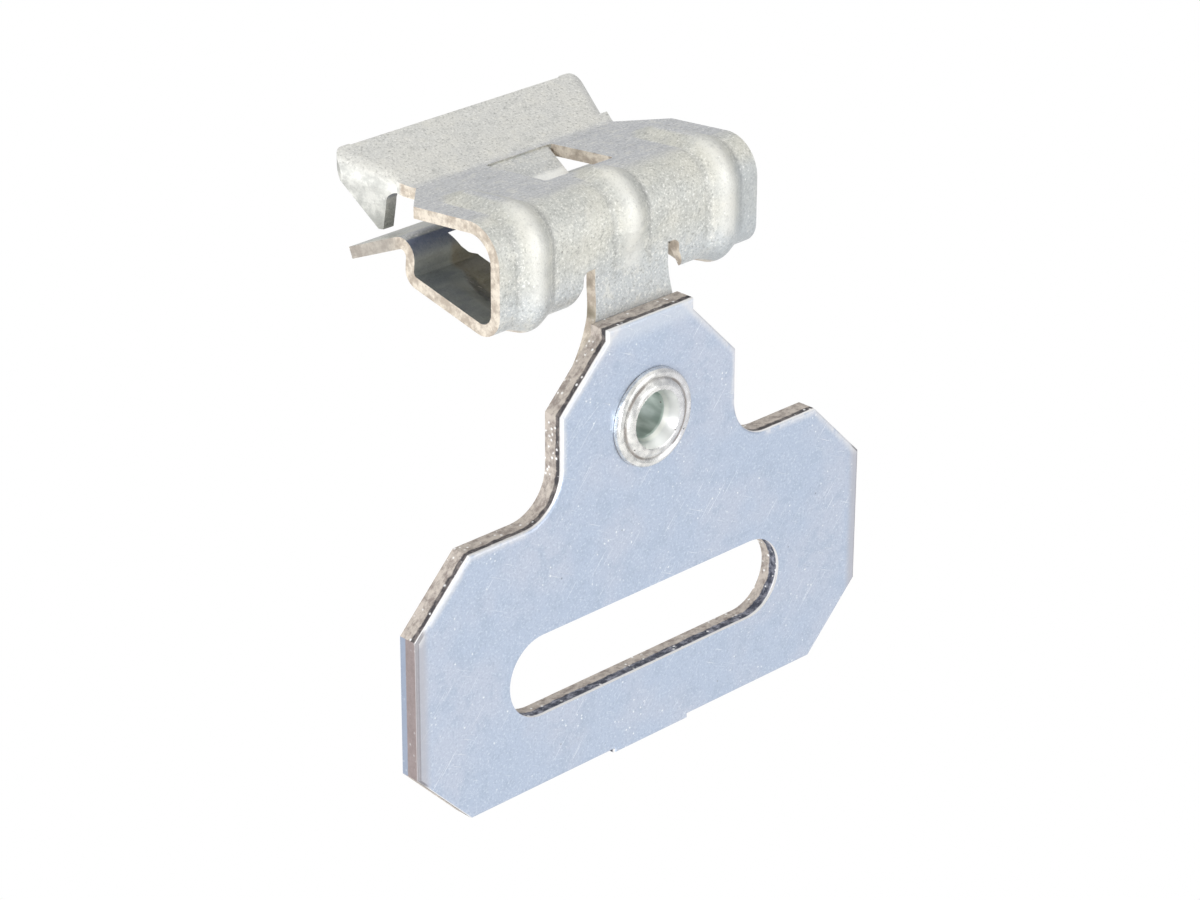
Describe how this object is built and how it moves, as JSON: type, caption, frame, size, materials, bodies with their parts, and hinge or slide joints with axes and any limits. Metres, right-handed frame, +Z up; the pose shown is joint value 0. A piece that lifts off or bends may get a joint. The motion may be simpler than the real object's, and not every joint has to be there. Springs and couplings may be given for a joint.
{
  "type": "strap hanger",
  "caption": "Beam flange clip of bent spring steel with a flat slotted strap plate that swings on a hollow rivet below it.",
  "frame": {"origin": "on the hollow rivet's axis, where the plate's back meets the front of the clip's leg", "axes": "+Z up, as it hangs; +Y towards the flange that the jaw grips, square to the plate; +X along the plate's width"},
  "size_m": [0.065, 0.0301, 0.0634],
  "materials": {
    "spring_steel": "matte, fine grained zinc coat",
    "zinc_plate": "satin zinc with fine scratches",
    "bright_eyelet": "bright rolled zinc"
  },
  "bodies": {
    "clip": {"flange_clip": "spring_steel", "hollow_rivet": "bright_eyelet"},
    "plate": {"strap_plate": "zinc_plate"}
  },
  "joints": [
    {"name": "plate_swing", "type": "hinge", "parent": "clip", "child": "plate", "pos_m": [0, 0, 0], "axis": [0, 1, 0], "range_deg": [-60, 60]}
  ]
}
